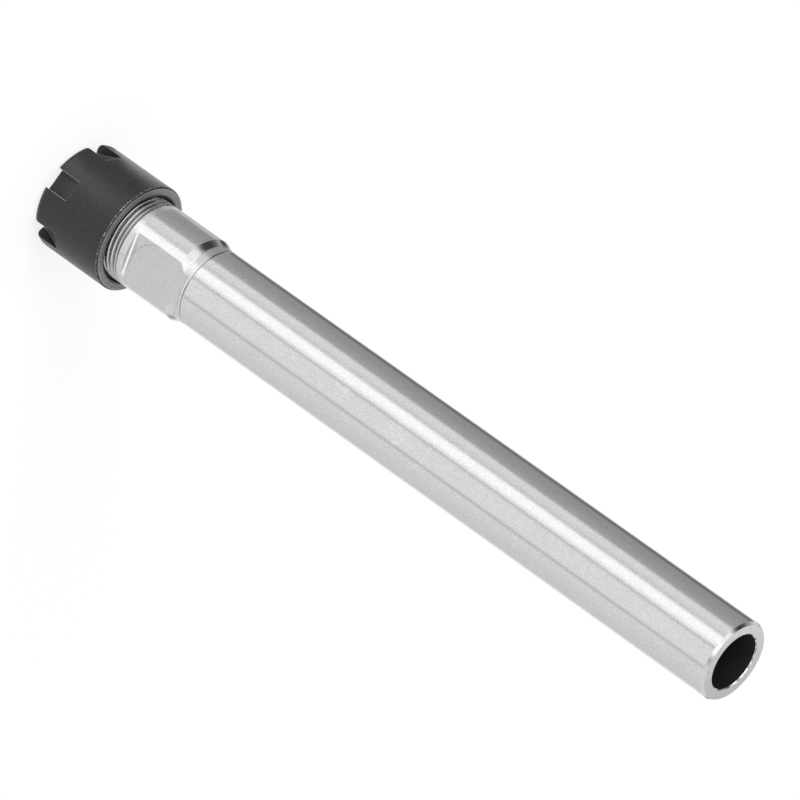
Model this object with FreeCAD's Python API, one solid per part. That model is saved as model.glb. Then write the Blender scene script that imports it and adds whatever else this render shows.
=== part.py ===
import FreeCAD, Part
import math
import os

# Straight shank collet chuck: a slim tool holder that grips a round tool in a
# spring collet and is itself held by its long cylindrical shank.
#
# Frame, in millimetres: the chuck stands on the front face of its clamping nut.
# Z = 0 is that face, +Z runs along the axis towards the rear end of the shank,
# and the spanner flats face -Y and +Y.

# Shank
shank_diameter = 12.0
shank_length = 100.1          # rear face to the small end of the shoulder cone
shank_chamfer_radial = 0.3    # lead chamfer at the rear end
shank_chamfer_axial = 0.45
collar_length = 1.42          # turned ring between the ground shank and the shoulder
grind_line_width = 0.2        # fine groove where the grinding of the shank stops
grind_line_depth = 0.08
grind_line_edge_width = 0.16  # broken edge on each side of the groove
grind_line_edge_depth = 0.02

# Head
head_diameter = 13.0
head_length = 9.5
shoulder_length = 1.1         # cone from the shank up to the head
shoulder_root_radius = 0.5    # where the cone runs into the shank
spanner_size = 11.0           # across the two flats
flat_setback = 1.1            # from the end of the thread to the first wall of a flat
flat_length = 10.4
flat_corner_radius = 0.2      # left by the milling cutter at the two walls of a flat

# Clamping thread, a fine metric one
thread_pitch = 0.75
thread_length = 8.4
thread_start_chamfer = 0.25
external_root_factor = 0.6134  # depth of the male thread over its pitch
internal_root_factor = 0.5413  # depth of the female thread over its pitch
mouth_wall = 0.54             # from the thread root to the mouth of the taper seat

# Bores of the holder
rear_bore_diameter = 8.4
rear_bore_edge_break = 0.15
throat_length = 14.0          # narrower bore between the taper seat and the rear bore
drill_point_angle = 118.0
seat_run_out = 0.3            # taper seat beyond the rear end of the collet

# Spring collet
collet_length = 18.0
collet_diameter = 11.5        # at the thick end of the long taper
taper_half_angle = 8.0
nose_half_angle = 30.0
nose_face_diameter = 8.6
flange_diameter = 11.0
flange_land = 0.4             # short cylinder between the nose cone and the groove
groove_width = 1.4
groove_diameter = 9.5
collet_bore_diameter = 6.0
collet_grip_length = 13.0
collet_relief_diameter = 6.5  # wider bore behind the gripping length
collet_edge_break = 0.25
slit_count = 6                # from each end, the two sets alternate
slit_width = 0.5
front_slit_bridge = 2.5       # metal left at the rear end of the front slits
rear_slit_bridge = 5.0        # metal left at the front end of the rear slits

# Clamping nut
nut_diameter = 16.5
nut_length = 12.93
nut_front_rounding = 1.2
nut_rear_chamfer = 0.25
nut_mouth_edge_break = 0.2
slot_count = 6
slot_width = 3.2
slot_length = 4.87            # from the front face to where the cutter runs out
slot_depth = 1.95             # at the front face
slot_cutter_diameter = 25.0
slot_clocking = -26.0         # degrees from the flat that faces -Y to one slot
recess_length = 1.0           # rear recess that clears the end of the thread
recess_clearance = 0.42
thread_relief_length = 1.0    # undercut where the female thread stops
thread_relief_clearance = 0.1
lip_eccentricity = 0.5        # the pull-out lip is bored off centre

# Clearances and the way the pieces seat
collet_recess = 0.68          # collet face behind the front face of the nut
mouth_step = 0.25             # seat mouth smaller than the collet, on the radius
taper_gap = 0.03              # square to the long taper
nose_gap = 0.03               # square to the nose cone
flange_gap = 0.05             # round the flange of the collet
lip_gap = 0.1                 # each side of the pull-out lip, along the axis
chamber_gap = 0.2             # round the thick end of the collet
cutter_overrun = 1.0          # how far a cutting tool passes the metal

taper_slope = math.tan(math.radians(taper_half_angle))
nose_slope = math.tan(math.radians(nose_half_angle))

# Positions along the axis of the collet, from its own front face
collet_flange_start = (flange_diameter - nose_face_diameter) / 2 / nose_slope
collet_groove_start = collet_flange_start + flange_land
collet_taper_start = collet_groove_start + groove_width

# Radii of the seat and of the thread, built round the collet
taper_gap_radial = taper_gap / math.cos(math.radians(taper_half_angle))
nose_gap_radial = nose_gap / math.cos(math.radians(nose_half_angle))
seat_mouth_radius = collet_diameter / 2 - mouth_step
thread_root_radius = seat_mouth_radius + mouth_wall
thread_radius = thread_root_radius + external_root_factor * thread_pitch
nut_thread_bore_radius = thread_radius - internal_root_factor * thread_pitch

# Stations along Z, from the front face of the nut to the rear end of the shank
collet_front_z = collet_recess
collet_taper_z = collet_front_z + collet_taper_start
collet_rear_z = collet_front_z + collet_length
holder_front_z = collet_taper_z + (mouth_step + taper_gap_radial) / taper_slope
thread_end_z = holder_front_z + thread_length
head_end_z = thread_end_z + head_length
shoulder_end_z = head_end_z + shoulder_length
grind_line_z = shoulder_end_z + collar_length
holder_rear_z = shoulder_end_z + shank_length
seat_end_z = collet_rear_z + seat_run_out
rear_bore_end_z = seat_end_z + throat_length


def in_section(outline):
    """Points of the half section, from (radius, z) pairs."""
    return [FreeCAD.Vector(radius, 0, z) for radius, z in outline]


def revolved(wire):
    """Solid of revolution about Z from a closed wire of the half section."""
    return Part.Face(wire).revolve(FreeCAD.Vector(0, 0, 0), FreeCAD.Vector(0, 0, 1), 360)


def turned(outline):
    """Solid of revolution about Z from a closed outline of (radius, z) pairs."""
    return revolved(Part.makePolygon(in_section(outline + outline[:1])))


def turned_about_axis(profile):
    """Solid of revolution whose outline is closed along the axis itself."""
    first_z = profile[0][1]
    last_z = profile[-1][1]
    return turned([(0, first_z)] + profile + [(0, last_z)])


def around_z(shape, angle):
    """Copy of a shape turned about the Z axis by an angle in degrees."""
    copy = shape.copy()
    copy.rotate(FreeCAD.Vector(0, 0, 0), FreeCAD.Vector(0, 0, 1), angle)
    return copy


def seat_radius(z):
    """Radius of the taper seat in the holder at a height z."""
    return seat_mouth_radius - (z - holder_front_z) * taper_slope


def shoulder_root():
    """Start, middle and end of the small radius between the shoulder cone and the shank."""
    reach = shoulder_root_radius
    cone_angle = math.atan2((head_diameter - shank_diameter) / 2, shoulder_length)
    centre_radius = shank_diameter / 2 + reach
    centre_z = shoulder_end_z + reach * math.tan(cone_angle / 2)
    return [
        (centre_radius - reach * math.cos(angle), centre_z - reach * math.sin(angle))
        for angle in (cone_angle, cone_angle / 2, 0)
    ]


def holder_outside():
    """Turned outside of the holder, from the thread to the rear chamfer."""
    shank_radius = shank_diameter / 2
    head_radius = head_diameter / 2
    groove_mouth = grind_line_width / 2
    groove_edge = groove_mouth + grind_line_edge_width
    root = shoulder_root()
    front = [
        (0, holder_front_z),
        (thread_root_radius - thread_start_chamfer, holder_front_z),
        (thread_root_radius, holder_front_z + thread_start_chamfer),
        (thread_root_radius, thread_end_z),
        (head_radius, thread_end_z),
        (head_radius, head_end_z),
        root[0],
    ]
    rear = [
        root[-1],
        (shank_radius, grind_line_z - groove_edge),
        (shank_radius - grind_line_edge_depth, grind_line_z - groove_mouth),
        (shank_radius - grind_line_depth, grind_line_z),
        (shank_radius - grind_line_edge_depth, grind_line_z + groove_mouth),
        (shank_radius, grind_line_z + groove_edge),
        (shank_radius, holder_rear_z - shank_chamfer_axial),
        (shank_radius - shank_chamfer_radial, holder_rear_z),
        (0, holder_rear_z),
        front[0],
    ]
    root_edge = Part.Arc(*in_section(root)).toShape()
    front_edges = Part.makePolygon(in_section(front)).Edges
    rear_edges = Part.makePolygon(in_section(rear)).Edges
    return revolved(Part.Wire(front_edges + [root_edge] + rear_edges))


def taper_seat_cutter():
    """Reamer shape for the cone that the collet is drawn into."""
    front_z = holder_front_z - cutter_overrun
    return turned_about_axis([(seat_radius(front_z), front_z), (seat_radius(seat_end_z), seat_end_z)])


def throat_cutter():
    """Drill from the front that joins the seat to the rear bore."""
    radius = seat_radius(seat_end_z)
    return turned_about_axis([(radius, holder_front_z), (radius, rear_bore_end_z)])


def rear_bore_cutter():
    """Drill from the rear with its point, and the broken edge of the bore."""
    radius = rear_bore_diameter / 2
    point_length = radius / math.tan(math.radians(drill_point_angle / 2))
    edge_radius = radius + rear_bore_edge_break + cutter_overrun
    return turned([
        (0, rear_bore_end_z - point_length),
        (radius, rear_bore_end_z),
        (radius, holder_rear_z - rear_bore_edge_break),
        (edge_radius, holder_rear_z + cutter_overrun),
        (0, holder_rear_z + cutter_overrun),
    ])


def spanner_flat_cutter(side):
    """Milling cut for one flat, with the cutter's round corners; side is -1 or +1 along Y."""
    reach = max(head_diameter, shank_diameter)
    block = Part.makeBox(2 * reach, reach, flat_length)
    floor_ends = [
        edge for edge in block.Edges
        if edge.BoundBox.XLength > reach and edge.BoundBox.YMax < reach / 2
    ]
    block = block.makeFillet(flat_corner_radius, floor_ends)
    block.translate(FreeCAD.Vector(-reach, spanner_size / 2, thread_end_z + flat_setback))
    return around_z(block, 0 if side > 0 else 180)


def make_holder():
    """Holder: shank, shoulder, head with two flats, thread, taper seat and bores."""
    body = holder_outside()
    cutters = [taper_seat_cutter(), throat_cutter(), rear_bore_cutter()]
    cutters += [spanner_flat_cutter(side) for side in (-1, 1)]
    for cutter in cutters:
        body = body.cut(cutter)
    return body


def collet_outside():
    """Turned outside of the collet: nose cone, flange, groove and long taper."""
    rear_radius = collet_diameter / 2 - (collet_rear_z - collet_taper_z) * taper_slope
    break_radius = rear_radius + collet_edge_break * taper_slope
    groove_start_z = collet_front_z + collet_groove_start
    profile = [
        (nose_face_diameter / 2, collet_front_z),
        (flange_diameter / 2, collet_front_z + collet_flange_start),
        (flange_diameter / 2, groove_start_z),
        (groove_diameter / 2, groove_start_z),
        (groove_diameter / 2, collet_taper_z),
        (collet_diameter / 2, collet_taper_z),
        (break_radius, collet_rear_z - collet_edge_break),
        (rear_radius - collet_edge_break, collet_rear_z),
    ]
    return turned_about_axis(profile)


def collet_bore_cutter():
    """Gripping bore with its broken front edge, and the relief behind it."""
    grip_radius = collet_bore_diameter / 2
    grip_end_z = collet_front_z + collet_grip_length
    edge_radius = grip_radius + collet_edge_break + cutter_overrun
    return turned([
        (0, collet_front_z - cutter_overrun),
        (edge_radius, collet_front_z - cutter_overrun),
        (grip_radius, collet_front_z + collet_edge_break),
        (grip_radius, grip_end_z),
        (collet_relief_diameter / 2, grip_end_z),
        (collet_relief_diameter / 2, collet_rear_z + cutter_overrun),
        (0, collet_rear_z + cutter_overrun),
    ])


def slit_cutter(start_z, end_z, angle):
    """Saw cut from the axis outwards, between two heights, at an angle about Z."""
    blade = Part.makeBox(collet_diameter, slit_width, end_z - start_z)
    blade.translate(FreeCAD.Vector(0, -slit_width / 2, start_z))
    return around_z(blade, angle)


def make_collet():
    """Spring collet: two cones with a pull-out groove, slit from both ends in turn."""
    collet = collet_outside().cut(collet_bore_cutter())
    slit_spacing = 360 / slit_count
    for index in range(slit_count):
        front_angle = index * slit_spacing
        rear_angle = front_angle + slit_spacing / 2
        front_slit = slit_cutter(
            collet_front_z - cutter_overrun, collet_rear_z - front_slit_bridge, front_angle
        )
        rear_slit = slit_cutter(
            collet_front_z + rear_slit_bridge, collet_rear_z + cutter_overrun, rear_angle
        )
        collet = collet.cut(front_slit).cut(rear_slit)
    return collet


def nut_outside():
    """Turned outside of the nut, rounded at the front and chamfered at the rear."""
    radius = nut_diameter / 2
    centre_radius = radius - nut_front_rounding
    rounding = [
        (
            centre_radius + nut_front_rounding * math.cos(angle),
            nut_front_rounding - nut_front_rounding * math.sin(angle),
        )
        for angle in (math.pi / 2, math.pi / 4, 0)
    ]
    rest = [
        rounding[-1],
        (radius, nut_length - nut_rear_chamfer),
        (radius - nut_rear_chamfer, nut_length),
        (0, nut_length),
        (0, 0),
        rounding[0],
    ]
    rounded_edge = Part.Arc(*in_section(rounding)).toShape()
    rest_edges = Part.makePolygon(in_section(rest)).Edges
    return revolved(Part.Wire([rounded_edge] + rest_edges))


def nut_nose_cutter():
    """Cone that presses on the nose of the collet, with the room for its flange."""
    cone_radius_front = nose_face_diameter / 2 + nose_gap_radial - collet_front_z * nose_slope
    flange_radius = flange_diameter / 2 + flange_gap
    flange_z = collet_front_z + (flange_radius - nose_face_diameter / 2 - nose_gap_radial) / nose_slope
    edge_radius = cone_radius_front + nut_mouth_edge_break
    return turned([
        (0, -cutter_overrun),
        (edge_radius + cutter_overrun, -cutter_overrun),
        (edge_radius, 0),
        (cone_radius_front + nut_mouth_edge_break * nose_slope, nut_mouth_edge_break),
        (flange_radius, flange_z),
        (flange_radius, lip_start_z()),
        (0, lip_start_z()),
    ])


def lip_start_z():
    """Front side of the pull-out lip, just inside the groove of the collet."""
    return collet_front_z + collet_groove_start + lip_gap


def lip_end_z():
    """Rear side of the pull-out lip."""
    return collet_taper_z - lip_gap


def nut_lip_cutter():
    """Off-centre bore that leaves a crescent lip on one side of the nut."""
    bore = Part.makeCylinder(flange_diameter / 2 + flange_gap, lip_end_z() - lip_start_z())
    bore.translate(FreeCAD.Vector(lip_eccentricity, 0, lip_start_z()))
    return bore


def nut_thread_cutter():
    """Chamber, thread undercut, thread bore and rear recess of the nut."""
    chamber_radius = collet_diameter / 2 + chamber_gap
    relief_radius = thread_radius + thread_relief_clearance
    recess_radius = thread_radius + recess_clearance
    relief_start_z = holder_front_z - thread_relief_length
    recess_z = nut_length - recess_length
    return turned_about_axis([
        (chamber_radius, lip_end_z()),
        (chamber_radius, relief_start_z),
        (relief_radius, relief_start_z),
        (relief_radius, holder_front_z),
        (nut_thread_bore_radius, holder_front_z),
        (nut_thread_bore_radius, recess_z),
        (recess_radius, recess_z),
        (recess_radius, nut_length + cutter_overrun),
    ])


def spanner_slot_cutter(angle):
    """Disc cutter in one slot: deepest at the front face, it runs out on the outside."""
    nut_radius = nut_diameter / 2
    cutter_radius = slot_cutter_diameter / 2
    half_chord = math.hypot(slot_length, slot_depth) / 2
    lift = math.sqrt(cutter_radius ** 2 - half_chord ** 2) / (2 * half_chord)
    centre = FreeCAD.Vector(
        nut_radius - slot_depth / 2 + slot_length * lift,
        -slot_width / 2,
        slot_length / 2 - slot_depth * lift,
    )
    disc = Part.makeCylinder(cutter_radius, slot_width, centre, FreeCAD.Vector(0, 1, 0))
    return around_z(disc, angle)


def make_nut():
    """Clamping nut: slotted ring with nose cone, pull-out lip and thread bore."""
    nut = nut_outside()
    for cutter in (nut_nose_cutter(), nut_lip_cutter(), nut_thread_cutter()):
        nut = nut.cut(cutter)
    front_flat_direction = -90
    for index in range(slot_count):
        angle = front_flat_direction + slot_clocking + index * 360 / slot_count
        nut = nut.cut(spanner_slot_cutter(angle))
    return nut


def write_part(name, shape):
    """Write one piece and print what it measures."""
    solid = shape.Solids[0]
    box = solid.BoundBox
    size = "%.2f x %.2f x %.2f mm" % (box.XLength, box.YLength, box.ZLength)
    print(name, len(shape.Solids), "solid,", size + ",", "%.1f mm3" % solid.Volume)
    solid.exportStep("parts/%s.step" % name)


os.makedirs("parts", exist_ok=True)
write_part("holder_body", make_holder())
write_part("spring_collet", make_collet())
write_part("clamping_nut", make_nut())
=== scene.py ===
# %% [markdown]
# # A straight shank collet chuck
#
# This chuck is a long, hollow, ground steel shank with a threaded head. A black nut on that
# thread pushes a slit collet into a taper, and the collet grips a small drill or end mill.
# The solids are already made and measured in CAD. This script adds what Blender is good at:
# the camera, a studio for polished metal, the helical thread, and the finish of each surface.

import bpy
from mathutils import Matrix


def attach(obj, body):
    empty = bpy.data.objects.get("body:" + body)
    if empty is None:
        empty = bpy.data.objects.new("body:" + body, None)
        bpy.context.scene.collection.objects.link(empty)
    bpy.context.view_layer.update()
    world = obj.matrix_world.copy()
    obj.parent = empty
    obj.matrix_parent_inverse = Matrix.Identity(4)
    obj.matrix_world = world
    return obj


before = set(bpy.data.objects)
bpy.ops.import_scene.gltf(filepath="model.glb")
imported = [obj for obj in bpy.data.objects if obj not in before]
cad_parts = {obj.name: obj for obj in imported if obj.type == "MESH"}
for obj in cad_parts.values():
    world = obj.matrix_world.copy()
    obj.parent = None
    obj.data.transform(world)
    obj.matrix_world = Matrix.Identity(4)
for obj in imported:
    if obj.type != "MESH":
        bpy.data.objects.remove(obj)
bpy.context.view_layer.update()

# %% [markdown]
# ## The tools of the lesson
#
# Blender is driven with `bpy`, and `bmesh` makes meshes point by point. The frame is in metres,
# but a maker measures such a chuck in millimetres, so one name holds a millimetre and the
# lengths of the chuck below are numbers of them.

# %% The modules and the millimetre
import math

import bmesh
import bpy
from mathutils import Matrix, Vector
from mathutils.noise import noise as wear_noise

MM = 0.001

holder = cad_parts["holder_body"]
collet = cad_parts["spring_collet"]
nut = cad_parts["clamping_nut"]
print("CAD nodes:", sorted(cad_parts))

# %% [markdown]
# ## The camera
#
# A close-up of a small tool is taken from about a metre with a long lens, so that the shank
# hardly narrows towards the far end. A camera can be aimed with a constraint or placed by its
# matrix. The matrix was chosen, because it can be said as a photographer would say it: where
# the camera aims, from which side, how high, how far away, and how far it is rolled about its
# own axis. The roll is large, because the picture shows an upright chuck lying slantwise.

# %% Where the camera stands
camera_target = Vector((-0.00239927, 0.00116186, 0.06150951))
camera_azimuth = math.radians(-25.83895)
camera_elevation = math.radians(29.88806)
camera_roll = math.radians(125.35297)
camera_distance = 1.0939187

camera_back = Vector((
    math.sin(camera_azimuth) * math.cos(camera_elevation),
    -math.cos(camera_azimuth) * math.cos(camera_elevation),
    math.sin(camera_elevation),
))
level_right = Vector((math.cos(camera_azimuth), math.sin(camera_azimuth), 0))
level_up = camera_back.cross(level_right)
camera_right = level_right * math.cos(camera_roll) + level_up * math.sin(camera_roll)
camera_up = camera_back.cross(camera_right)
print("the camera looks along", [round(-v, 3) for v in camera_back])

# %% [markdown]
# ## The lens
#
# The lens is a 365 mm one on a full frame. A very small shift slides the picture by a fraction
# of a pixel without turning the camera, and that is all that the framing still needed. The view
# is set to Standard, so that a white of 1 in the scene is a plain white in the picture.

# %% Lens and picture
lens = bpy.data.cameras.new("chuck_camera")
lens.sensor_width = 36
lens.lens = 364.524
lens.shift_x = -0.000215
lens.shift_y = 0.00035
lens.clip_start = 0.05
lens.clip_end = 20
camera = bpy.data.objects.new("chuck_camera", lens)
camera.matrix_world = Matrix((camera_right, camera_up, camera_back)).transposed().to_4x4()
camera.location = camera_target + camera_back * camera_distance
bpy.context.scene.collection.objects.link(camera)
bpy.context.scene.camera = camera
bpy.context.scene.view_settings.view_transform = "Standard"
print("camera at", [round(v, 4) for v in camera.location])

# %% [markdown]
# ## The studio that the metal mirrors
#
# Polished steel has no look of its own: it shows the room. The long soft stripes along the shank
# are the walls, lamps and dark gaps of a studio. They could be painted on the steel or set up
# with many lamps and panels. Painted stripes would stay put when the view turns, and panels
# would hide one another, so the room is one ring of light around the chuck, in five storeys
# under a plain ceiling. Each storey is a list of angles and levels that runs once round.
#
# The shank and the head mirror the low storey. The side of the shoulder cone mirrors the middle
# one, and its front and the side of the rear chamfer the next. The high one is for the front of
# the chamfer and for the rear face, and the upper one for the flanks of the thread.

# %% The low storey, for the shank and the head
# An angle of 0 is behind the camera, and the numbers go up to 90 at the far side on the right.
# A cylinder turns a mirrored direction twice as fast as its surface, so 90 here is half a turn.
ring_low = [
    (-90, 0.94), (-84, 0.97), (-80, 0.90), (-76, 0.76), (-71, 0.65), (-50, 0.715), (-31, 0.79),
    (-29.5, 0.52), (-27.5, 0.52), (-26, 0.83), (-1.4, 0.83), (-0.8, 0.50),
    (0.8, 0.50), (2, 0.88), (5, 1.05), (8, 1.18), (15.5, 1.18), (17.5, 1.05), (19.3, 0.63),
    (22, 0.68), (24, 0.77), (33, 0.84), (34.3, 0.80), (36.3, 0.42), (52, 0.34), (65, 0.315),
    (68, 0.24), (71.5, 0.11), (74.5, 0.15), (80, 0.52), (84, 0.75), (90, 0.86),
]
print("stops of the low storey:", len(ring_low))

# %% [markdown]
# ## The storeys above
#
# Surfaces that lean backwards mirror higher parts of the room. On the right there is a dark wall
# in all of these storeys, with a lighter strip in two of them, and it gives the cone and the
# chamfer their short black marks. The lamps are the stops above 1.

# %% The four storeys above and the ceiling
ring_middle = [
    (-90, 0.80), (-84, 0.60), (-80, 0.35), (-72, 0.30), (-67, 0.50), (-63, 0.75), (-38, 0.75),
    (-30, 1.10), (-20, 1.10), (-10, 0.90), (3, 1.15), (22, 1.25), (27, 0.90), (32, 0.12),
    (50, 0.06), (54, 0.09), (58, 0.17), (61, 0.30), (63.6, 0.44), (65.4, 0.20), (67, 0.05),
    (74, 0.06), (76.5, 0.35), (79, 0.55), (84, 0.72), (90, 0.80),
]
ring_side = [
    (-90, 0.78), (-60, 0.76), (-28, 0.78), (-12, 0.80), (-4, 1.15), (12, 1.15), (27, 1.00),
    (29.5, 0.85), (31.5, 0.45), (34.5, 0.12), (37, 0.05), (50, 0.05), (54, 0.10), (57.5, 0.18),
    (61, 0.34), (64, 0.58), (67, 0.72), (78, 0.74), (90, 0.78),
]
ring_high = [
    (-90, 0.76), (-82, 0.74), (-72, 0.45), (-62, 0.66), (-55, 0.76), (-28, 0.74), (-22, 0.52),
    (-16, 0.34), (-12, 0.52), (-8, 0.95), (-4, 1.25), (12, 1.15), (16, 0.95), (22, 1.05),
    (27, 1.00), (30.5, 0.88), (33.2, 0.56), (36.8, 0.22), (39.5, 0.06), (47, 0.04), (52, 0.12),
    (55, 0.25), (58, 0.40), (61, 0.56), (63.5, 0.60), (66.5, 0.12), (77, 0.08), (81, 0.55),
    (85, 0.74), (90, 0.76),
]
ring_upper = [
    (-90, 0.62), (-72, 0.42), (-60, 0.42), (-50, 1.10), (-40, 1.25), (38, 1.25), (46, 0.80),
    (54, 0.45), (58, 0.30), (62, 0.10), (77, 0.08), (84, 0.50), (90, 0.62),
]
ceiling = 0.55
print("stops above:", [len(ring) for ring in (ring_middle, ring_side, ring_high, ring_upper)])

# %% [markdown]
# ## Nodes with few words
#
# The world and the materials are node trees. One helper adds a node, sets its choices and either
# fills or links its inputs. The others cover what is needed most: a sum, a soft step from one
# number to another, a mix of two numbers, and a grey.

# %% Node helpers
def add_node(tree, kind, inputs=None, **choices):
    node = tree.nodes.new(kind)
    for choice, value in choices.items():
        setattr(node, choice, value)
    for socket, value in (inputs or {}).items():
        if isinstance(value, bpy.types.NodeSocket):
            tree.links.new(value, node.inputs[socket])
        else:
            node.inputs[socket].default_value = value
    return node


def calculate(tree, operation, *values):
    node = add_node(tree, "ShaderNodeMath", dict(enumerate(values)), operation=operation)
    return node.outputs[0]


def smooth_step(tree, value, low, high, at_low=0.0, at_high=1.0):
    limits = {
        "Value": value, "From Min": low, "From Max": high, "To Min": at_low, "To Max": at_high,
    }
    node = add_node(tree, "ShaderNodeMapRange", limits, interpolation_type="SMOOTHSTEP")
    return node.outputs[0]


def blend_numbers(tree, share, first, second):
    inputs = {"Factor": share, "A": first, "B": second}
    return add_node(tree, "ShaderNodeMix", inputs, data_type="FLOAT").outputs[0]


def grey(level):
    return (level, level, level, 1)


print("node helpers are ready")

# %% [markdown]
# ## Directions in the room
#
# A world is asked for its light in a direction, not at a place. The direction is first turned so
# that the camera's side is always the same, and then split in two numbers that a person in the
# room would use: how far round, and how high above the horizon.

# %% Round and up
world = bpy.data.worlds.new("studio")
world.use_nodes = True
studio = world.node_tree
studio.nodes.clear()
bpy.context.scene.world = world

direction = add_node(studio, "ShaderNodeTexCoord").outputs["Generated"]
turned = add_node(
    studio, "ShaderNodeVectorRotate",
    {"Vector": direction, "Angle": -camera_azimuth}, rotation_type="Z_AXIS",
).outputs[0]
parts = add_node(studio, "ShaderNodeSeparateXYZ", {"Vector": turned}).outputs
towards_camera = calculate(studio, "MULTIPLY", parts["Y"], -1.0)
around = calculate(studio, "ARCTAN2", parts["X"], towards_camera)
ring_place = calculate(studio, "MULTIPLY_ADD", around, -0.5 / math.pi, 0.5)
height = calculate(studio, "ARCSINE", parts["Z"])
print("world nodes so far:", len(studio.nodes))

# %% [markdown]
# ## Storeys into one ring
#
# Each list of stops becomes a colour ramp, which takes 32 stops at most. An image of the room
# would do the same, but a ramp can be read and changed by hand. Neighbouring storeys melt into
# each other over a few degrees of height, as real walls do when satin metal mirrors them.

# %% The ring of light
storeys = [
    (-20, -15, ring_middle), (-9, -6, ring_side), (8, 13, ring_high), (39, 45, ring_upper),
]
ceiling_starts, ceiling_is_full = 66, 78


def ring_of_light(stops):
    ramp = add_node(studio, "ShaderNodeValToRGB", {"Fac": ring_place})
    elements = ramp.color_ramp.elements
    for element, (angle, level) in zip(elements, (stops[0], stops[-1])):
        element.position = (angle + 90) / 180
        element.color = grey(level)
    for angle, level in stops[1:-1]:
        elements.new((angle + 90) / 180).color = grey(level)
    return ramp.outputs["Color"]


ring = ring_of_light(ring_low)
for starts, is_full, stops in storeys:
    share = smooth_step(studio, height, math.radians(starts), math.radians(is_full))
    ring = blend_numbers(studio, share, ring, ring_of_light(stops))
under_ceiling = smooth_step(
    studio, height, math.radians(ceiling_starts), math.radians(ceiling_is_full), 1.0, 0.0
)
ring = blend_numbers(studio, under_ceiling, ceiling, ring)
print("storeys in the ring:", 1 + len(storeys))

# %% [markdown]
# ## Who sees what
#
# Only mirrored rays see the ring. Matt surfaces are lit by an even grey room, which gives them
# no stripes. A ray that comes straight from the camera, or passes through something, sees plain
# white. So the background is as white as the paper of a catalogue and adds no light.

# %% World output
room_fill = 0.70
ray = add_node(studio, "ShaderNodeLightPath").outputs
seen_by_metal = blend_numbers(studio, ray["Is Glossy Ray"], room_fill, ring)
plain_white = calculate(
    studio, "MAXIMUM", ray["Is Camera Ray"], ray["Is Transmission Ray"]
)
strength = blend_numbers(studio, plain_white, seen_by_metal, 1.0)
background = add_node(studio, "ShaderNodeBackground", {"Color": grey(1), "Strength": strength})
add_node(studio, "ShaderNodeOutputWorld", {"Surface": background.outputs[0]})
print("room fill:", room_fill)

# %% [markdown]
# ## One soft lamp
#
# The ring already lights the metal. A soft lamp from the upper left gives the black nut and the
# floor a direction of light. A wide disk was chosen and not a small lamp, so that its shadow has
# a soft edge. It is hidden from mirrored rays, or it would add a stripe to the steel.

# %% Lamp
lamp_place = (-0.75, -0.35, 0.95)
lamp_aim = Vector((0, 0, 0.03))

lamp_data = bpy.data.lights.new("soft_lamp", "AREA")
lamp_data.shape = "DISK"
lamp_data.size = 0.5
lamp_data.energy = 4.0
soft_lamp = bpy.data.objects.new("soft_lamp", lamp_data)
soft_lamp.location = lamp_place
soft_lamp.rotation_euler = (
    (lamp_aim - soft_lamp.location).to_track_quat("-Z", "Y").to_euler()
)
soft_lamp.visible_glossy = False
bpy.context.scene.collection.objects.link(soft_lamp)
print("lamp power in watts:", lamp_data.energy)

# %% [markdown]
# ## The floor
#
# The background is plain white, but the chuck should still stand on something. The floor is one
# large square. Mirrored rays pass it, because the steel has to see the low storey of the ring.

# %% Floor sheet
floor_half_width = 2.5
floor_mesh = bpy.data.meshes.new("studio_floor")
floor_form = bmesh.new()
bmesh.ops.create_grid(floor_form, x_segments=1, y_segments=1, size=floor_half_width)
floor_form.to_mesh(floor_mesh)
floor_form.free()
floor = bpy.data.objects.new("studio_floor", floor_mesh)
bpy.context.scene.collection.objects.link(floor)
floor.visible_glossy = False
print("floor width, metres:", 2 * floor_half_width)

# %% [markdown]
# ## White paper that keeps a shadow
#
# Matt paper alone would come out grey, and paper that only glows would have no shadow. So a ray
# that comes straight from the camera, or passes through something, finds mostly a glow and
# partly matt paper: white all over, with a faint shadow where the chuck stands. All other rays
# find plain matt paper.

# %% Floor paper
glow_part = 0.72
glow_level = 1.10
paper_level = 0.92

paper = bpy.data.materials.new("white_paper")
paper.use_nodes = True
paper_tree = paper.node_tree
paper_tree.nodes.clear()
ray = add_node(paper_tree, "ShaderNodeLightPath").outputs
seen_plainly = calculate(
    paper_tree, "MAXIMUM", ray["Is Camera Ray"], ray["Is Transmission Ray"]
)
glow_share = calculate(paper_tree, "MULTIPLY", seen_plainly, glow_part)
matt = add_node(paper_tree, "ShaderNodeBsdfDiffuse", {"Color": grey(paper_level)})
glow = add_node(paper_tree, "ShaderNodeEmission", {"Color": grey(1), "Strength": glow_level})
surface = add_node(
    paper_tree, "ShaderNodeMixShader", {0: glow_share, 1: matt.outputs[0], 2: glow.outputs[0]}
)
add_node(paper_tree, "ShaderNodeOutputMaterial", {"Surface": surface.outputs[0]})
floor_mesh.materials.append(paper)
print("paper glow:", glow_level)

# %% [markdown]
# ## Three cards at the foot
#
# A photographer lays small cards beside a shiny tool to lift a dark side. Metal mirrors things
# downwards here, so a card close to the foot is seen by the nut and the head and missed by the
# shank above them. That is why these lights are cards and not part of the ring, which the whole
# chuck sees. Each card is a flat piece of a ring, made from a row of four-sided faces.

# %% Form of a card
card_steps = 12
card_lift = Vector((0, 0, 0.1 * MM))


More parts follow.
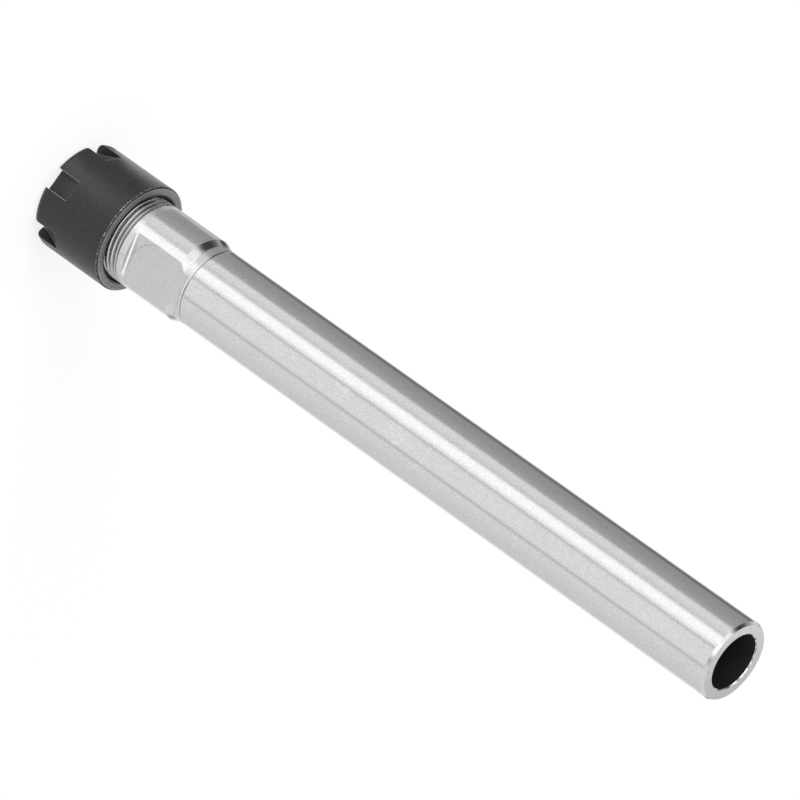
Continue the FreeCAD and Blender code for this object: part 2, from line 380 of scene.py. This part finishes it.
def card_mesh(name, first_angle, last_angle, inner, outer):
    """Flat ring sector. Angles are degrees from the camera's side, lengths millimetres."""
    form = bmesh.new()
    rows = []
    for step in range(card_steps + 1):
        share = step / card_steps
        angle = camera_azimuth - math.radians(first_angle + (last_angle - first_angle) * share)
        out = Vector((math.sin(angle), -math.cos(angle), 0)) * MM
        rows.append([form.verts.new(out * radius + card_lift) for radius in (inner, outer)])
    for one, two in zip(rows, rows[1:]):
        form.faces.new((one[0], one[1], two[1], two[0]))
    mesh = bpy.data.meshes.new(name)
    form.to_mesh(mesh)
    form.free()
    return mesh


print("steps of a card:", card_steps)

# %% [markdown]
# ## Laying the cards
#
# One card lies towards the camera and lights a strip of the nut. Two more lie on the far right,
# the near one for the edge of the nut and the next one for the edge of the head. They glow, are
# seen in mirrored rays only, and throw no shadow.

# %% Cards
def foot_card(name, first_angle, last_angle, inner, outer, level):
    mesh = card_mesh(name, first_angle, last_angle, inner, outer)
    card = bpy.data.objects.new(name, mesh)
    bpy.context.scene.collection.objects.link(card)
    glow = bpy.data.materials.new(name)
    glow.use_nodes = True
    glow.node_tree.nodes.clear()
    light = add_node(glow.node_tree, "ShaderNodeEmission", {"Color": grey(1), "Strength": level})
    add_node(glow.node_tree, "ShaderNodeOutputMaterial", {"Surface": light.outputs[0]})
    mesh.materials.append(glow)
    card.visible_camera = False
    card.visible_diffuse = False
    card.visible_transmission = False
    card.visible_shadow = False
    return card


front_card = foot_card("front_card", 14, 36, 9, 30, 1.5)
near_card = foot_card("near_card", 98, 176, 9, 27, 1.12)
side_card = foot_card("side_card", 125, 158, 27.5, 44, 0.55)
print("foot cards:", front_card.name, near_card.name, side_card.name)

# %% [markdown]
# ## A finish is painted in the part's own coordinates
#
# A finish could be laid on with a map unwrapped over the mesh, or with one material for each
# surface. Every piece here was made on a lathe, so its surfaces are easy to tell apart by two
# numbers: the distance from the axis and the height along it. A material that reads them knows
# where it is ground, milled, threaded or drilled, and it moves with the piece.

# %% Start of every finish
def new_finish(name):
    finish = bpy.data.materials.new(name)
    finish.use_nodes = True
    tree = finish.node_tree
    tree.nodes.clear()
    place = add_node(tree, "ShaderNodeTexCoord").outputs["Object"]
    x, y, z = add_node(tree, "ShaderNodeSeparateXYZ", {"Vector": place}).outputs
    across = add_node(tree, "ShaderNodeCombineXYZ", {"X": x, "Y": y}).outputs[0]
    length = add_node(tree, "ShaderNodeVectorMath", {0: across}, operation="LENGTH")
    radius = length.outputs["Value"]
    return finish, tree, {"place": place, "x": x, "y": y, "z": z, "radius": radius}


ground_steel, tree, at = new_finish("ground_steel")
print("a finish can read:", sorted(at))

# %% [markdown]
# ## Masks in millimetres
#
# A mask is a number that is 1 on one surface and 0 elsewhere. Each one is a soft step at a
# station of the CAD model, or two of them, and masks are joined by multiplying them.

# %% Mask helpers
def fade(tree, value, start, end, at_start=0.0, at_end=1.0):
    """Soft step between two distances in millimetres."""
    return smooth_step(tree, value, start * MM, end * MM, at_start, at_end)


def both(tree, first, second):
    return calculate(tree, "MULTIPLY", first, second)


def between(tree, value, low, high, edge=0.01):
    """1 between two distances in millimetres, 0 outside, with an edge of `edge` millimetres."""
    over = fade(tree, value, low - edge, low)
    under = fade(tree, value, high, high + edge, 1.0, 0.0)
    return both(tree, over, under)


print("mask helpers are ready")

# %% [markdown]
# ## Ground steel: the turned and the milled surfaces
#
# The shank is ground to size between centres. The collar, the cone and the head are turned, and
# the two flats are milled. All of that is one piece of steel, so it is one material that changes
# with the place. The bright line at the foot of a flat is a painted highlight, and the dark line
# at its end is painted shade.

# %% Turned and milled surfaces
flat_distance, flat_heights = (5.47, 5.53), (16.05, 26.45)
foot_distance, foot_heights = (5.50, 5.74), (16.04, 16.27)
flat_end_distance, flat_end_heights = (5.52, 5.56), (26.44, 26.53)
land_heights = (15.15, 15.60)
cone_heights = (24.50, 25.42)
collar_heights = (25.45, 26.90)
groove_heights = (26.89, 27.06)
rear_face_heights = (125.62, 125.64)

from_middle = calculate(tree, "ABSOLUTE", at["y"])
on_flat = both(
    tree,
    between(tree, from_middle, *flat_distance, edge=0.005),
    between(tree, at["z"], *flat_heights),
)
flat_foot_highlight = both(
    tree, between(tree, from_middle, *foot_distance), between(tree, at["z"], *foot_heights)
)
flat_end_shade = both(
    tree,
    fade(tree, from_middle, *flat_end_distance),
    between(tree, at["z"], *flat_end_heights, edge=0.02),
)
on_front_land = between(tree, at["z"], *land_heights, edge=0.50)
on_cone = between(tree, at["z"], *cone_heights, edge=0.03)
on_collar = between(tree, at["z"], *collar_heights, edge=0.02)
in_groove = between(tree, at["z"], *groove_heights, edge=0.02)
on_rear_face = fade(tree, at["z"], *rear_face_heights)
print("the flats run from", flat_heights[0], "to", flat_heights[1], "mm")

# %% [markdown]
# ## Ground steel: thread and bore
#
# The root of the thread is painted darker than the ridge: painted shade between the ridges. The
# bore is only drilled, and it is painted nearly black: painted shade inside the hole. Its mouth
# has a small broken edge. Pieces of their own would cut the holder apart, so these are masks too.

# %% Thread and bore
thread_heights = (15.00, 14.95)
root_radii = (6.22, 6.08)
bore_radii, bore_heights = (4.40, 4.36), (125.52, 125.50)
mouth_radii, mouth_heights = (4.38, 4.35), (125.50, 125.52)

on_thread = fade(tree, at["z"], *thread_heights)
in_thread_root = both(tree, on_thread, fade(tree, at["radius"], *root_radii))
in_bore = both(
    tree, fade(tree, at["radius"], *bore_radii), fade(tree, at["z"], *bore_heights)
)
on_bore_edge = both(
    tree, fade(tree, at["radius"], *mouth_radii), fade(tree, at["z"], *mouth_heights)
)
print("the bore ends at", bore_heights[1], "mm")

# %% [markdown]
# ## Patterns for metal
#
# Two kinds of pattern are enough for machined metal. A cloudy noise stands for grain, speckle
# and rubbed patches. A noise that changes with one distance only makes lines, as a turning tool
# or a milling cutter leaves them. Both are calculated and not drawn, so they stay sharp in a
# close view and never repeat.

# %% Pattern helpers
def noise(tree, place, size, detail=3.0):
    """Cloudy pattern whose patches are about `size` millimetres across."""
    inputs = {"Vector": place, "Scale": 1 / (size * MM), "Detail": detail}
    return add_node(tree, "ShaderNodeTexNoise", inputs).outputs[0]


def patches(tree, place, size, low, high, detail=3.0):
    """Cloudy pattern pulled apart: 0 where the noise is under `low`, 1 where it is over `high`."""
    return smooth_step(tree, noise(tree, place, size, detail), low, high)


def lines_along(tree, distance, size, detail=3.0):
    """Pattern that changes with one distance only."""
    inputs = {"W": distance, "Scale": 1 / (size * MM), "Detail": detail}
    return add_node(tree, "ShaderNodeTexNoise", inputs, noise_dimensions="1D").outputs[0]


def distance_between(tree, first, second):
    node = add_node(tree, "ShaderNodeVectorMath", {0: first, 1: second}, operation="DISTANCE")
    return node.outputs["Value"]


print("pattern helpers are ready")

# %% [markdown]
# ## Ground steel: marks of the machines
#
# A grinding wheel leaves a fine grain and rings closer than a hair, a turning tool leaves wider
# rings on the cone, and the edge of the bore keeps an uneven burr. An end mill leaves arcs on
# the flats, round the point where its axis stood. One of them is deeper and shows as a thin
# curved line, so it is a mask of its own that fades out towards its two ends.

# %% Machine marks
grain = noise(tree, at["place"], size=0.20)
cloud = noise(tree, at["place"], size=2.5, detail=2.0)
wheel_marks = lines_along(tree, at["z"], size=0.06, detail=4.0)
tool_marks = lines_along(tree, at["z"], size=0.18, detail=2.0)
burr = patches(tree, at["place"], size=0.7, low=0.40, high=0.62)

mill_axis = (1.41 * MM, 0.0, 21.18 * MM)
mill_line_radii = (4.95, 5.02)
line_end_x, line_end_z = (0.9, -1.2), (21.8, 20.4)

on_plane = add_node(tree, "ShaderNodeCombineXYZ", {"X": at["x"], "Z": at["z"]}).outputs[0]
from_mill = distance_between(tree, on_plane, mill_axis)
mill_marks = lines_along(tree, from_mill, size=0.35)
line_part = both(tree, fade(tree, at["x"], *line_end_x), fade(tree, at["z"], *line_end_z))
mill_line = both(tree, between(tree, from_mill, *mill_line_radii, edge=0.06), line_part)
print("radius of the curved line, mm:", mill_line_radii[0])

# %% [markdown]
# ## Ground steel: marks of handling
#
# A holder that has been in a drawer and in a few hands has faint scuffed patches on its shank.
# They are not everywhere, so an even noise would look wrong. Each patch is a soft ball around
# one point, and a coarse noise fills it.

# %% Handling marks
# x, y and z of each patch and how far it reaches, in millimetres
handled_places = [
    (-1.96, -5.67, 56.4, 2.2), (-1.26, -5.87, 67.2, 2.4),
    (0.28, -5.99, 72.8, 1.2), (-5.37, -2.67, 96.1, 1.0),
]
full_part = 0.35

handled = 0.0
for x, y, z, reach in handled_places:
    from_mark = distance_between(tree, at["place"], (x * MM, y * MM, z * MM))
    near_mark = fade(tree, from_mark, full_part * reach, reach, 1.0, 0.0)
    handled = calculate(tree, "MAXIMUM", handled, near_mark)
scuffs = patches(tree, at["place"], size=0.45, low=0.47, high=0.62)
print("scuffed patches:", len(handled_places))

# %% [markdown]
# ## Ground steel: brightness of the shank and the flats
#
# The grain of ground steel can be relief or colour. Relief this fine would be lost at the size
# of a pixel, so most of the grain is a change in how much light each spot sends back. A milled
# flat has the same grain but more evenly, a dim line where the mill went deeper, and a painted
# highlight along its foot.

# %% Brightness of the shank and the flats
steel_level, grain_contrast = 0.52, 0.56
cloud_contrast = 0.04
scuff_lift = 0.10
flat_level, flat_contrast = 0.255, 0.6
mill_line_level = 0.52
foot_highlight_level = 1.0


def scaled(tree, value, factor, start):
    return calculate(tree, "MULTIPLY_ADD", value, factor, start)


brightness = scaled(tree, grain, grain_contrast, steel_level)
brightness = scaled(tree, cloud, cloud_contrast, brightness)
brightness = scaled(tree, both(tree, handled, scuffs), scuff_lift, brightness)
flat_brightness = scaled(tree, brightness, flat_contrast, flat_level)
brightness = blend_numbers(tree, on_flat, brightness, flat_brightness)
brightness = blend_numbers(tree, both(tree, on_flat, mill_line), brightness, mill_line_level)
# painted highlight: the foot of each flat is painted bright
brightness = blend_numbers(tree, flat_foot_highlight, brightness, foot_highlight_level)
print("level of the steel:", steel_level, "to", steel_level + grain_contrast)

# %% [markdown]
# ## Ground steel: brightness of the ends and the thread
#
# The faced rear end is painted lighter on one side and darker on the other, as painted shading,
# and the broken edge of the bore glints where the burr is. The fine groove behind the collar is
# darker, and lighter towards one side. The end of the flat carries painted shade, the thread is a
# little darker, its root carries painted shade, and the bore is painted nearly black as painted
# shade.

# %% Brightness of the ends and the thread
face_level, face_shade_change_per_metre = 0.90, -22.0
burr_level, burr_contrast = 0.35, 0.65
groove_x, groove_levels = (3.2, 5.4), (0.45, 0.72)
flat_end_shade_level = 0.50
thread_share = 0.86
root_shade_level = 0.50
bore_shade_level = 0.07

# painted shading: the rear face is painted lighter towards -x and darker towards +x
face_painted_shading = scaled(tree, at["x"], face_shade_change_per_metre, face_level)
edge_brightness = scaled(tree, burr, burr_contrast, burr_level)
groove_brightness = fade(tree, at["x"], *groove_x, *groove_levels)

brightness = blend_numbers(tree, on_rear_face, brightness, both(tree, brightness, face_painted_shading))
brightness = blend_numbers(tree, on_bore_edge, brightness, edge_brightness)
brightness = blend_numbers(tree, in_groove, brightness, groove_brightness)
# painted shade: the end of each flat is painted darker
brightness = blend_numbers(tree, flat_end_shade, brightness, flat_end_shade_level)
brightness = both(tree, brightness, blend_numbers(tree, on_thread, 1.0, thread_share))
# painted shade in the root of the thread
brightness = blend_numbers(tree, in_thread_root, brightness, root_shade_level)
# painted shade: the bore is painted nearly black
brightness = blend_numbers(tree, in_bore, brightness, bore_shade_level)
print("level of the bore:", bore_shade_level)

# %% [markdown]
# ## Ground steel: gloss
#
# Gloss is the roughness number: low is a mirror, high is matt. The ground shank is the
# shiniest, and each other surface has one value of its own.

# %% Gloss of the holder
shank_roughness, roughness_contrast = 0.12, 0.08

roughness = scaled(tree, grain, roughness_contrast, shank_roughness)
for mask, level in (
    (on_collar, 0.24), (on_flat, 0.30), (on_rear_face, 0.30),
    (on_thread, 0.26), (on_front_land, 0.32), (in_bore, 0.80),
):
    roughness = blend_numbers(tree, mask, roughness, level)
print("roughness of the shank:", shank_roughness, "to", shank_roughness + roughness_contrast)

# %% [markdown]
# ## Ground steel: relief, and the finished steel
#
# Real tool marks are grooves, but so shallow that meshing them would cost millions of faces. A
# Bump node bends the light as if they were there. The depths are in millimetres, so they can be
# compared with a real surface: the shank has less than one hundredth, the cone a little more.
#
# All three finishes end in the Principled shader. Its colour here is a grey, so one number is
# spread over red, green and blue.

# %% Relief of the holder
grain_depth, wheel_depth, tool_depth, mill_depth = 0.0030, 0.0006, 0.012, 0.0035


def bump(tree, height, depth, below=None):
    """Turns a pattern into relief of `depth` millimetres."""
    inputs = {"Height": height, "Distance": depth * MM, "Strength": 1.0}
    if below is not None:
        inputs["Normal"] = below
    return add_node(tree, "ShaderNodeBump", inputs).outputs[0]


def finish_with(tree, brightness, **sockets):
    names = {"metal": "Metallic", "roughness": "Roughness", "relief": "Normal"}
    inputs = {names.get(key, key): value for key, value in sockets.items()}
    levels = {"Red": brightness, "Green": brightness, "Blue": brightness}
    inputs["Base Color"] = add_node(tree, "ShaderNodeCombineColor", levels).outputs[0]
    shader = add_node(tree, "ShaderNodeBsdfPrincipled", inputs)
    add_node(tree, "ShaderNodeOutputMaterial", {"Surface": shader.outputs[0]})
    return shader


relief = bump(tree, grain, grain_depth)
relief = bump(tree, wheel_marks, wheel_depth, relief)
relief = bump(tree, both(tree, tool_marks, on_cone), tool_depth, relief)
relief = bump(tree, both(tree, mill_marks, on_flat), mill_depth, relief)

finish_with(tree, brightness, metal=1.0, roughness=roughness, relief=relief)
holder.material_slots[0].material = ground_steel
print("ground_steel on", holder.name)

# %% [markdown]
# ## Hardened steel of the collet
#
# A spring collet is hardened, ground on its cones and left a little darker than the shank. It
# could share the material of the holder, but that one is made for the holder's stations, so the
# collet has a short finish of its own: fine rings, a little grain and a bore painted darker as
# painted shade. Only its nose can be seen, from below, and its slits show what it is.

# %% Hardened steel
collet_level, collet_contrast = 0.62, 0.10
collet_bore_radii, collet_bore_shade_level = (3.35, 3.20), 0.42
collet_roughness, collet_roughness_contrast = 0.14, 0.10
ring_depth = 0.0008

hardened_steel, tree, at = new_finish("hardened_steel")
grain = noise(tree, at["place"], size=0.15)
rings = lines_along(tree, at["z"], size=0.08)
brightness = scaled(tree, grain, collet_contrast, collet_level)
in_collet_bore = fade(tree, at["radius"], *collet_bore_radii)
# painted shade: the bore of the collet is painted darker
brightness = blend_numbers(tree, in_collet_bore, brightness, collet_bore_shade_level)
roughness = scaled(tree, grain, collet_roughness_contrast, collet_roughness)
relief = bump(tree, rings, ring_depth)
finish_with(tree, brightness, metal=1.0, roughness=roughness, relief=relief)
collet.material_slots[0].material = hardened_steel
print("hardened_steel on", collet.name)

# %% [markdown]
# ## Black oxide: where the edges are
#
# Black oxide is a thin dark skin on steel, and it rubs off first on the edges, where bare steel
# glints through. The edges could be painted by hand or found from the height of each slot. A
# Bevel node finds them all: it bends the normal near an edge, and the places where the bent
# normal differs from the true one are the edges.

# %% Edges of the nut
edge_reach = 0.14
edge_starts, edge_is_full = 0.975, 0.84

black_oxide, tree, at = new_finish("black_oxide_steel")
rounded = add_node(
    tree, "ShaderNodeBevel", {"Radius": edge_reach * MM}, samples=6
).outputs[0]
true_normal = add_node(tree, "ShaderNodeNewGeometry").outputs["Normal"]
likeness = add_node(
    tree, "ShaderNodeVectorMath", {0: rounded, 1: true_normal}, operation="DOT_PRODUCT"
).outputs["Value"]
edge = smooth_step(tree, likeness, edge_starts, edge_is_full)
print("the wear reaches", edge_reach, "mm from an edge")

# %% [markdown]
# ## Black oxide: worn edges
#
# Wear is never an even line, so a cloudy pattern decides where an edge is rubbed and where it
# is still black. The shallow ends of the slots have no sharp edge and are left out.

# %% Worn edges of the nut
edge_share = 0.42
wear_starts, wear_is_full = 0.62, 0.86
edge_limits = (0.05, 0.4)
runout_heights = (4.60, 5.05)

patch = noise(tree, at["place"], size=1.6)
rubbed = smooth_step(tree, scaled(tree, edge, edge_share, patch), wear_starts, wear_is_full)
rubbed = both(tree, rubbed, smooth_step(tree, edge, *edge_limits))
slot_runout = between(tree, at["z"], *runout_heights, edge=0.05)
rubbed = both(tree, rubbed, calculate(tree, "SUBTRACT", 1.0, slot_runout))
print("the slots run out from", runout_heights[0], "to", runout_heights[1], "mm")

# %% [markdown]
# ## Black oxide: the rear ring
#
# The flat ring at the rear of the nut rubs on whatever it is laid against. It is greyer than the
# outside, with a bright line near its outer edge and specks along the rim below it.

# %% Rear ring of the nut
ring_heights = (12.90, 12.92)
annulus_radii, bright_radii = (7.14, 7.9), (7.88, 8.02)
rim_heights, rim_radii = (12.60, 12.74), (8.10, 8.14)
annulus_contrast, annulus_wear = 1.00, -0.06
line_wear = 0.70
speck_limits = (0.40, 0.56)


def wear_more(wear, mask, level):
    return calculate(tree, "MAXIMUM", wear, both(tree, mask, level))


speckle = noise(tree, at["place"], size=0.16, detail=5.0)
specks = patches(tree, at["place"], size=0.22, low=0.48, high=0.62)
rim_specks = both(tree, specks, smooth_step(tree, patch, *speck_limits))

on_ring = fade(tree, at["z"], *ring_heights)
on_annulus = both(tree, on_ring, between(tree, at["radius"], *annulus_radii, edge=0.06))
on_line = both(tree, on_ring, between(tree, at["radius"], *bright_radii, edge=0.03))
on_rim = both(
    tree, between(tree, at["z"], *rim_heights, edge=0.02), fade(tree, at["radius"], *rim_radii)
)
rubbed = wear_more(rubbed, on_annulus, scaled(tree, speckle, annulus_contrast, annulus_wear))
rubbed = wear_more(rubbed, on_rim, rim_specks)
rubbed = wear_more(rubbed, on_line, line_wear)
print("the rear ring runs from", annulus_radii[0], "to", bright_radii[1], "mm from the axis")

# %% [markdown]
# ## Black oxide: the skin
#
# The skin has hardly any colour: a satin gloss with fine speckle and a little dust. A plain dark
# gloss would be simpler, but it would look like plastic, and the speckle and the duller floors
# of the slots are what make it treated steel. A touch of sheen stands for the fine tooth of the
# oxide, which lightens it where it turns away. Where it is rubbed, it is metal.

# %% Skin of the nut
speckle_contrast = 0.036
dust_level = 0.08
bare_level = 0.55
slot_heights, slot_radii = (4.95, 4.80), (8.16, 8.08)
skin_roughness, skin_contrast = 0.24, 0.16
slot_roughness = 0.50
skin_depth = 0.050

dust = patches(tree, at["place"], size=0.17, low=0.58, high=0.74, detail=2.0)
brightness = scaled(tree, speckle, speckle_contrast, 0.0)
brightness = blend_numbers(tree, dust, brightness, dust_level)
brightness = blend_numbers(tree, rubbed, brightness, bare_level)

in_slot = both(
    tree, fade(tree, at["z"], *slot_heights), fade(tree, at["radius"], *slot_radii)
)
roughness = scaled(tree, speckle, skin_contrast, skin_roughness)
roughness = blend_numbers(tree, in_slot, roughness, slot_roughness)
relief = bump(tree, speckle, skin_depth, rounded)
oxide = finish_with(
    tree, brightness, metal=rubbed, roughness=roughness, relief=relief, IOR=1.5
)
oxide.inputs["Sheen Weight"].default_value = 0.15
oxide.inputs["Sheen Roughness"].default_value = 0.35
nut.material_slots[0].material = black_oxide
print("black_oxide_steel on", nut.name)

# %% [markdown]
# ## The thread: its section
#
# The solid has a plain core where the fine thread is, because a helix is heavy to check. The
# real thread is one ridge wound round and round that core. Rings stacked on the core would be
# simpler, but their crests would not climb. So it is one ridge here too, and it starts as the
# outline of its section: two flanks at 30 degrees and a rounded crest, with its foot sunk in
# the core.

# %% Section of the ridge
thread_pitch = 0.75
thread_core_radius = 6.04
thread_crest_radius = 6.5
thread_foot_depth = 0.08
thread_foot_radius = thread_core_radius - thread_foot_depth
flank_slope = math.tan(math.radians(30))
crest_half_width = thread_pitch / 16
shoulder_drop = 0.055
corner_drop = 0.012


def ridge_section():
    """Half width and radius of the ridge, from its foot over the crest to the other foot."""
    foot_half_width = crest_half_width + (thread_crest_radius - thread_core_radius) * flank_slope
    shoulder_half_width = crest_half_width + shoulder_drop * flank_slope
    half = [
        (foot_half_width, thread_foot_radius),
        (foot_half_width, thread_core_radius),
        (shoulder_half_width, thread_crest_radius - shoulder_drop),
        (crest_half_width, thread_crest_radius - corner_drop),
    ]
    near_side = [(-w, r) for w, r in half]
    far_side = [(w, r) for w, r in reversed(half)]
    return near_side + [(0.0, thread_crest_radius)] + far_side


print("points of the section:", len(ridge_section()))

# %% [markdown]
# ## The thread: worn crests
#
# The crests of a used thread carry small dents. Bump could show them, but the outline of the
# thread would stay perfect, so the points of the ridge are lowered. The noise that does it is
# read at each place and has no random start, so every run gives the same dents.

# %% Dents of the crest
crest_dent = 0.045
dents_around = 9.0
dents_along = 2.6
dent_offset = 0.15


def crest_wear(angle, height):
    """How far the crest is dented at one place, in millimetres."""
    place = Vector((
        math.cos(angle) * dents_around, math.sin(angle) * dents_around, height * dents_along
    ))
    return crest_dent * max(0.0, wear_noise(place) + dent_offset)


print("dent at the start, mm:", round(crest_wear(0.0, 0.0), 4))

# %% [markdown]
# ## The thread: one step of the helix
#
# The section is carried along a helix, one step at a time. The ridge grows out of the core in
# the first half turn, as a thread does at its start.

# %% Points of one step
thread_first_z = 6.73
thread_last_z = 15.23
thread_phase = 0.4
steps_per_turn = 144
least_growth = 0.12


def points_at(form, step):
    turn = step / steps_per_turn
    angle = 2 * math.pi * (turn + thread_phase)
    middle_z = thread_first_z + turn * thread_pitch
    growth = max(min(1.0, 2 * step / steps_per_turn), least_growth)
    points = []
    for half_width, radius in ridge_section():
        r = thread_foot_radius + (radius - thread_foot_radius) * growth
        z = middle_z + half_width
        if radius > thread_core_radius:
            r -= crest_wear(angle, z)
        points.append(form.verts.new((
            r * math.cos(angle) * MM, r * math.sin(angle) * MM, z * MM
        )))
    return points


print("turns of the thread:", round((thread_last_z - thread_first_z) / thread_pitch, 2))

# %% [markdown]
# ## The thread: skin and place
#
# Each ring of points is joined to the last one with a ring of faces, and both ends are closed.
# A Screw modifier could wind the section too, but it can't grow it at the start or dent it. The
# ridge rides on the holder, so it climbs with it when the nut is unscrewed, and it has the
# holder's own steel.

# %% Thread ridge
def wind_ridge(name):
    form = bmesh.new()
    steps = round((thread_last_z - thread_first_z) / thread_pitch * steps_per_turn)
    rings = [points_at(form, step) for step in range(steps + 1)]
    count = len(rings[0])
    for before, after in zip(rings, rings[1:]):
        for i in range(count):
            j = (i + 1) % count
            form.faces.new((before[i], before[j], after[j], after[i]))
    form.faces.new(rings[0])
    form.faces.new(list(reversed(rings[-1])))
    bmesh.ops.recalc_face_normals(form, faces=form.faces)
    mesh = bpy.data.meshes.new(name)
    form.to_mesh(mesh)
    form.free()
    for polygon in mesh.polygons:
        polygon.use_smooth = True
    mesh.set_sharp_from_angle(angle=math.radians(50))
    ridge = bpy.data.objects.new(name, mesh)
    bpy.context.scene.collection.objects.link(ridge)
    return ridge


thread = wind_ridge("holder_thread")
thread.data.materials.append(ground_steel)
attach(thread, "holder")
print("thread faces:", len(thread.data.polygons))

# %% [markdown]
# ## The end
#
# The scene is brought up to date once more.

# %% Last update
bpy.context.view_layer.update()
